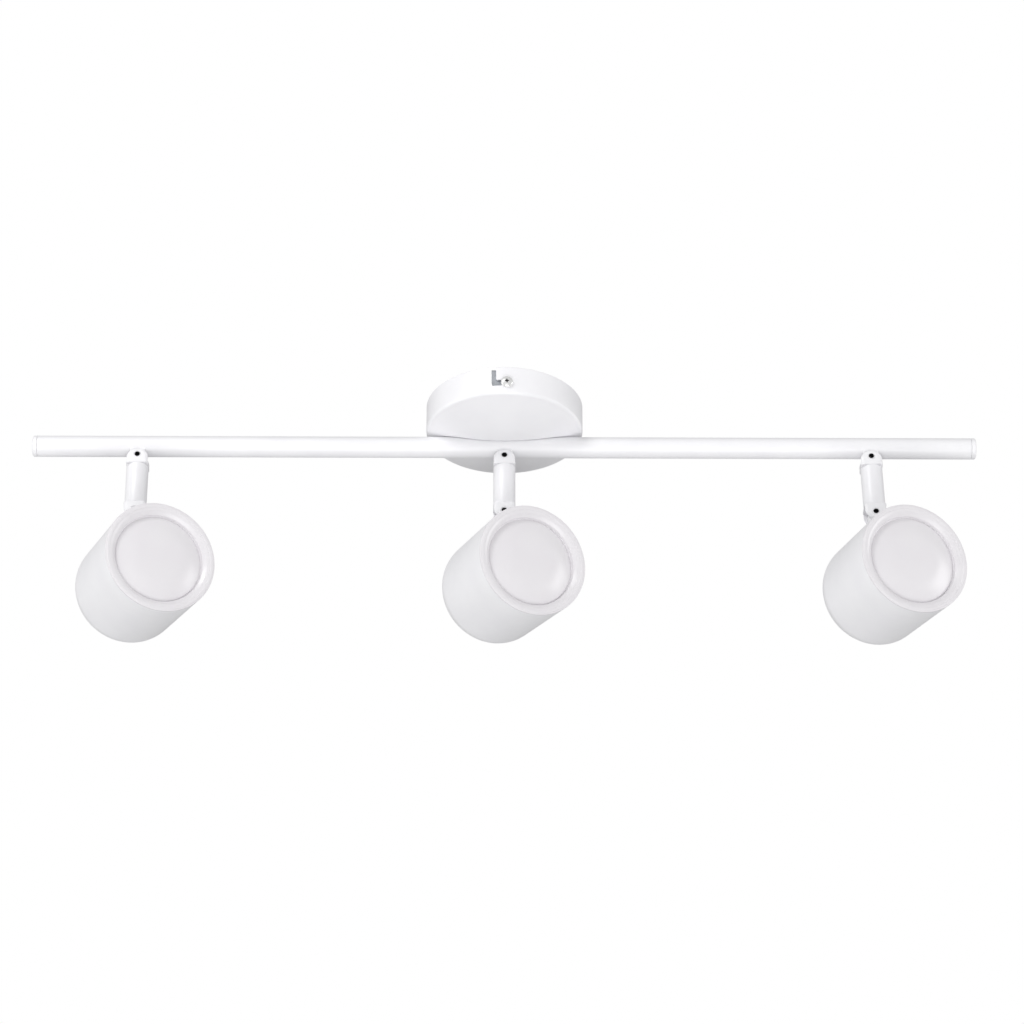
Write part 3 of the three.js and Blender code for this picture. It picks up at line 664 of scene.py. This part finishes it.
def pivotScrewPiece():
    end = pivot["length"] / 2
    edge, radius, flats = pivot["edge"], pivot["radius"], pivot["flats"] / 2
    floor = end - pivot["depth"]
    profile = [(0, -end), (radius - edge, -end), (radius, -end + edge), (radius, end - edge),
               (radius - edge, end), (flats * 1.18, end), (flats, end - 0.2, 6), (flats, floor, 6),
               (flats * 0.9, floor, 6), (0, floor - 0.7)]
    return makePiece("pivot_screw", lathe(profile, 48), spin(90, "X"))


def armTubePiece():
    top = -fork["shoulder"] - arm["gap"]
    bottom = -arm["length"] - top
    inner = arm["radius"] - arm["wall"]
    profile = rounded([(inner, bottom, 0.1), (arm["radius"], bottom, arm["edge"]),
                       (arm["radius"], top, arm["edge"]), (inner, top, 0.1)], 4, closed=True)
    return makePiece("arm_tube_piece", lathe(profile, 72, closed=True))


# neck and pad, drawn with the lower hinge at the origin

neck = {"radius": 5.2, "flange": 8.6, "flangeDrop": 8.4, "flangeThickness": 2.2, "stud": 3.9, "eye": 4.4,
        "thickness": 5.4, "studFoot": 24.27}
pad = {"radius": 10, "top": 10.9, "edge": 0.9, "hole": 4.15, "lift": 0.1, "flare": 0.5, "fillet": 0.35}
can = {"drop": 49.8, "pitch": 6.5, "front": 44.2, "back": 29, "radius": 35.75, "draft": 0.0276,
       "round": 17, "sheet": 1.15, "lip": 0.25, "segments": 160}


def neckPiece():
    top, low = -neck["flangeDrop"], -neck["flangeDrop"] - neck["flangeThickness"]
    profile = rounded([(0, 0, 0), (neck["radius"], 0, 1.6), (neck["radius"], top, 0.8),
                       (neck["flange"], top, 0.7), (neck["flange"], low, 0.3), (neck["stud"], low, 0.2),
                       (neck["stud"], -neck["studFoot"], 0.5), (0, -neck["studFoot"], 0)], 6)
    piece = makePiece("neck", lathe(profile, 72))
    half = neck["thickness"]
    eye = rounded([(0, -half, 0), (neck["eye"], -half, 0.4), (neck["eye"], half, 0.4), (0, half, 0)], 4)
    combine(piece, makePiece("tool", lathe(eye, 64), spin(90, "X")), "UNION")
    drill = lathe([(0, -9), (fork["hole"], -9), (fork["hole"], 9), (0, 9)], 32)
    combine(piece, makePiece("tool", drill, spin(90, "X")))
    return piece


def canSkinHeight(x, y):
    # the height in the neck's frame of the can's skin above a point
    pitch = math.radians(can["pitch"])
    along = -y * math.cos(pitch)
    for _ in range(6):
        radius = can["radius"] - can["draft"] * (can["front"] - along)
        up = math.sqrt(radius ** 2 - x * x)
        rise = (up + y * math.sin(pitch)) / math.cos(pitch)
        along = -(y * math.cos(pitch) + rise * math.sin(pitch))
    return rise - can["drop"]


def padPiece():
    # a round boss whose underside lies on the can
    around = 72
    top = -pad["top"]
    rim = rounded([(pad["hole"], top, 0), (pad["radius"], top, pad["edge"]),
                   (pad["radius"], top - 5, 0)], 5)[:-1]
    rings = [[(radius, height)] * around for radius, height in rim]
    angles = [2 * math.pi * step / around for step in range(around)]
    seats = ((pad["radius"], pad["flare"]), (pad["radius"] + pad["fillet"], 0.0),
             (pad["radius"] * 0.7, 0.0), (pad["hole"], 0.0))
    for radius, flare in seats:
        ring = []
        for angle in angles:
            skin = canSkinHeight(radius * math.cos(angle), radius * math.sin(angle))
            ring.append((radius, skin + pad["lift"] + flare))
        rings.append(ring)
    corners = [(radius * math.cos(angle), radius * math.sin(angle), height)
               for ring in rings for (radius, height), angle in zip(ring, angles)]
    faces = []
    for ring in range(len(rings)):
        below = (ring + 1) % len(rings)
        for step in range(around):
            after = (step + 1) % around
            faces.append([ring * around + step, ring * around + after,
                          below * around + after, below * around + step])
    return makePiece("pad", (corners, faces))


# can and lens, turned about an axis whose height grows towards the open end

# swell is the rim's stepped rise: how far out from the groove, how far behind the front
lens = {"front": 46, "edge": 35.8, "rim": 8.1, "inset": 0.2, "crown": 4, "groove": 0.4, "flange": 1.65,
        "spigot": 34.3, "skirt": 6, "sheet": 2, "shoulder": 0.5,
        "swell": ((1.0, 2.7), (1.25, 2.3), (3.0, 1.0), (3.3, 0.95), (3.45, 0.7), (4.9, 0.3),
                  (5.15, 0.42), (5.4, 0.1), (6.9, 0.05), (7.1, 0.3), (7.3, 0.3))}
canPlace = shift(0, 0, -can["drop"]) @ spin(can["pitch"], "X") @ spin(90, "X")


def housingPiece():
    front, back, sheet = can["front"], -can["back"], can["sheet"]
    backRadius = can["radius"] - can["draft"] * (front - back)
    profile = rounded([(0, back, 0), (backRadius, back, can["round"]), (can["radius"], front, can["lip"]),
                       (can["radius"] - sheet, front, can["lip"]),
                       (backRadius - sheet, back + sheet, can["round"] - sheet), (0, back + sheet, 0)], 14)
    piece = makePiece("housing_piece", lathe(profile, can["segments"]), canPlace)
    drill = lathe([(0, -30), (pad["hole"], -30), (pad["hole"], -8), (0, -8)], 40)
    combine(piece, makePiece("tool", drill))
    return piece


def lensPiece():
    # a crowned middle that falls to a groove, then a soft raised rim over the can's end
    front, edge = lens["front"], lens["edge"]
    ring = edge - lens["rim"]
    face = []
    for step in range(29):
        share = step / 28
        fall = max(0, share - lens["shoulder"]) / (1 - lens["shoulder"])
        bulge = 0.3 * share ** 2 + 0.7 * fall ** 2
        face.append((ring * share, front - lens["inset"] - lens["crown"] * bulge, 0))
    deep = face[-1][1] - lens["groove"]
    face += [(ring + 0.25, deep, 0.25), (ring + 0.75, deep + 0.1, 0.4)]
    for out, height in lens["swell"]:
        face.append((ring + out, front - height, 0.12))
    back = front - lens["flange"]
    face += [(edge, front - 0.35, 0.5), (edge, back, 0.2), (lens["spigot"], back, 0),
             (lens["spigot"] - 0.1, front - lens["skirt"], 0.3),
             (lens["spigot"] - lens["sheet"], front - lens["skirt"], 0.3),
             (ring - 1, deep - lens["sheet"], 1), (0, front - lens["inset"] - lens["sheet"], 0)]
    return makePiece("lens_piece", lathe(rounded(face, 5), can["segments"]), canPlace)


headShapes = {
    "bar_lug": (barLugPiece(), "satinWhitePaint", 35),
    "fork": (forkPiece(), "satinWhitePaint", 32),
    "arm_tube": (armTubePiece(), "satinWhitePaint", 32),
    "neck": (neckPiece(), "satinWhitePaint", 32),
    "pad": (padPiece(), "satinWhitePaint", 38),
    "housing": (housingPiece(), "satinWhitePaint", 30),
    "lens": (lensPiece(), "opalAcrylic", 30),
}
screwMaster = pivotScrewPiece()
socketReach = pivot["flats"] / 2 * 1.2
socketMouth = -pivot["length"] / 2


def insideSocket(spot):
    within = socketMouth + 0.01 < spot.y < socketMouth + pivot["depth"] + 1
    return within and math.hypot(spot.x, spot.z) < socketReach


# the hex socket's walls and floor take the near-black finish: painted shade in the deep socket, the screw's
# end stays white paint
paintFaces(screwMaster, [finish["satinWhitePaint"], finish["recessShadeBlack"]], insideSocket)
headShapes["pivot_screw"] = (screwMaster, "satinWhitePaint", 32)
for piece, finishName, smoothAngle in headShapes.values():
    finishMesh(piece, finish[finishName], smoothAngle)
print("head pieces drawn")


def middleOf(joint):
    # a joint's range is even about its straight position, so this is how far that lies from rest
    low, high = joint["range_deg"]
    return -(low + high) / 2


for head in heads:
    upper, lower, swivel = (joints[kind + head] for kind in ("arm_hinge_", "neck_hinge_", "head_swivel_"))
    lean = middleOf(upper)
    armPlace = Matrix.Translation(upper["pos_m"]) @ spin(lean, "Y")
    neckPlace = Matrix.Translation(lower["pos_m"]) @ spin(lean + middleOf(lower), "Y")
    headPlace = neckPlace @ spin(middleOf(swivel), "Z")
    hingeFrame = neckPlace @ spin(-middleOf(lower), "Y")
    lowerFork = hingeFrame @ spin(180, "Y")
    parts = (
        ("bar_lug", "bar_lug", "base", "white_paint", "bar_lug_", Matrix.Translation(upper["pos_m"])),
        ("upper_fork", "fork", "arm_", "white_paint", "clevis_upper_", armPlace),
        ("upper_pivot_screw", "pivot_screw", "arm_", "pivot_steel", "pivot_screw_upper_", armPlace),
        ("arm_tube", "arm_tube", "arm_", "white_paint", "arm_tube_", armPlace),
        ("lower_fork", "fork", "arm_", "white_paint", "clevis_lower_", lowerFork),
        ("lower_pivot_screw", "pivot_screw", "arm_", "pivot_steel", "pivot_screw_lower_", hingeFrame),
        ("neck", "neck", "neck_", "white_paint", "neck_lug_", neckPlace),
        ("swivel_boss", "pad", "head_", "white_paint", "swivel_pad_", headPlace),
        ("housing", "housing", "head_", "white_paint", "housing_", headPlace),
        ("lens", "lens", "head_", "frosted_diffuser", "lens_", headPlace),
    )
    for name, shape, body, slot, node, place in parts:
        piece = copyOf(headShapes[shape][0], name + "_piece_" + head)
        settle(piece, body if body == "base" else body + head, [node + head], place)
for piece, _, _ in headShapes.values():
    bpy.data.objects.remove(piece)
print("heads hung:", len(heads))


# finishes of the frame's own nodes that stay in view

nodeFinishes = {
    "terminal_block": "naturalNylon", "earth_screw": "plainBrass", "tube_nipple": "plainBrass",
    "nipple_nut": "plainBrass", "nipple_washer": "nickelPlate", "bar_wiring": "whiteSheath",
    "arm_wiring_": "whiteSheath", "neck_nut_": "nickelPlate", "heat_sink_": "castAluminium",
    "led_board_": "whiteSolderMask", "driver_": "greenLaminate"}
for prefix, finishName in nodeFinishes.items():
    for name, node in frame["nodes"].items():
        if name.startswith(prefix):
            node.data.materials.clear()
            node.data.materials.append(finish[finishName])
print("frame nodes finished")


# studio: pale floor, white surround, soft boxes and the camera

studio = {"floorDrop": 2.4, "floorSize": 40, "surround": 0.45, "background": 1.0}
softBoxes = {
    "lowBox": {"place": (0.1, -1.4, -2.0), "size": 1.7, "power": 27},
    "frontBox": {"place": (0, -2.2, -0.9), "size": 1.5, "power": 4},
    "leftBox": {"place": (-1.6, -0.9, 0.0), "size": 0.9, "power": 4},
    "leftEndBox": {"place": (-0.8, -0.3, -0.3), "size": 0.6, "power": 0.8},
    "rightBox": {"place": (1.7, -0.5, 0.1), "size": 0.8, "power": 8},
    "topBox": {"place": (-0.9, -1.5, 1.0), "size": 0.7, "power": 14},
}
view = {"target": (0.0049, 0, -0.077), "distance": 2.5, "azimuth": -0.17, "elevation": -30.03, "roll": 0.08,
        "lens": 138.9}

floor = bpy.data.objects.new("floor", bpy.data.meshes.new("floor"))
half = studio["floorSize"] / 2
floorCorners = [(-half, -half, 0), (half, -half, 0), (half, half, 0), (-half, half, 0)]
floor.data.from_pydata(floorCorners, [], [(0, 1, 2, 3)])
floor.location.z = -studio["floorDrop"]
bpy.context.scene.collection.objects.link(floor)
floor.data.materials.append(newFinish("paleFloor", {
    "colours": ((0.86, 0.86, 0.86), (0.88, 0.88, 0.88)), "roughness": (0.7, 0.8),
    "cloudSize": 400, "grainSize": 4, "grainDepth": 0.1}))

world = bpy.data.worlds.new("studio")
world.use_nodes = True
worldNodes, worldLinks = world.node_tree.nodes, world.node_tree.links
plain = worldNodes["Background"]
plain.inputs["Color"].default_value = (1, 1, 1, 1)
plain.inputs["Strength"].default_value = studio["surround"]
backdrop = worldNodes.new("ShaderNodeBackground")
backdrop.inputs["Color"].default_value = (1, 1, 1, 1)
backdrop.inputs["Strength"].default_value = studio["background"]
rays = worldNodes.new("ShaderNodeLightPath")
pick = worldNodes.new("ShaderNodeMixShader")
worldLinks.new(rays.outputs["Is Camera Ray"], pick.inputs["Fac"])
worldLinks.new(plain.outputs["Background"], pick.inputs[1])
worldLinks.new(backdrop.outputs["Background"], pick.inputs[2])
worldLinks.new(pick.outputs["Shader"], worldNodes["World Output"].inputs["Surface"])
bpy.context.scene.world = world

aim = Vector(view["target"])
for name, light in softBoxes.items():
    data = bpy.data.lights.new(name, "AREA")
    data.shape = "DISK"
    data.size = light["size"]
    data.energy = light["power"]
    box = bpy.data.objects.new(name, data)
    box.location = light["place"]
    box.rotation_mode = "QUATERNION"
    box.rotation_quaternion = (aim - Vector(light["place"])).to_track_quat("-Z", "Y")
    bpy.context.scene.collection.objects.link(box)

azimuth, elevation = math.radians(view["azimuth"]), math.radians(view["elevation"])
back = Vector((math.sin(azimuth) * math.cos(elevation), -math.cos(azimuth) * math.cos(elevation),
               math.sin(elevation)))
camera = bpy.data.objects.new("camera", bpy.data.cameras.new("camera"))
camera.data.lens = view["lens"]
camera.data.sensor_width = 36
camera.location = aim + back * view["distance"]
camera.rotation_mode = "QUATERNION"
camera.rotation_quaternion = (-back).to_track_quat("-Z", "Y") @ spin(view["roll"], "Z").to_quaternion()
bpy.context.scene.collection.objects.link(camera)
bpy.context.scene.camera = camera
bpy.context.scene.view_settings.view_transform = "Standard"
print("studio ready")
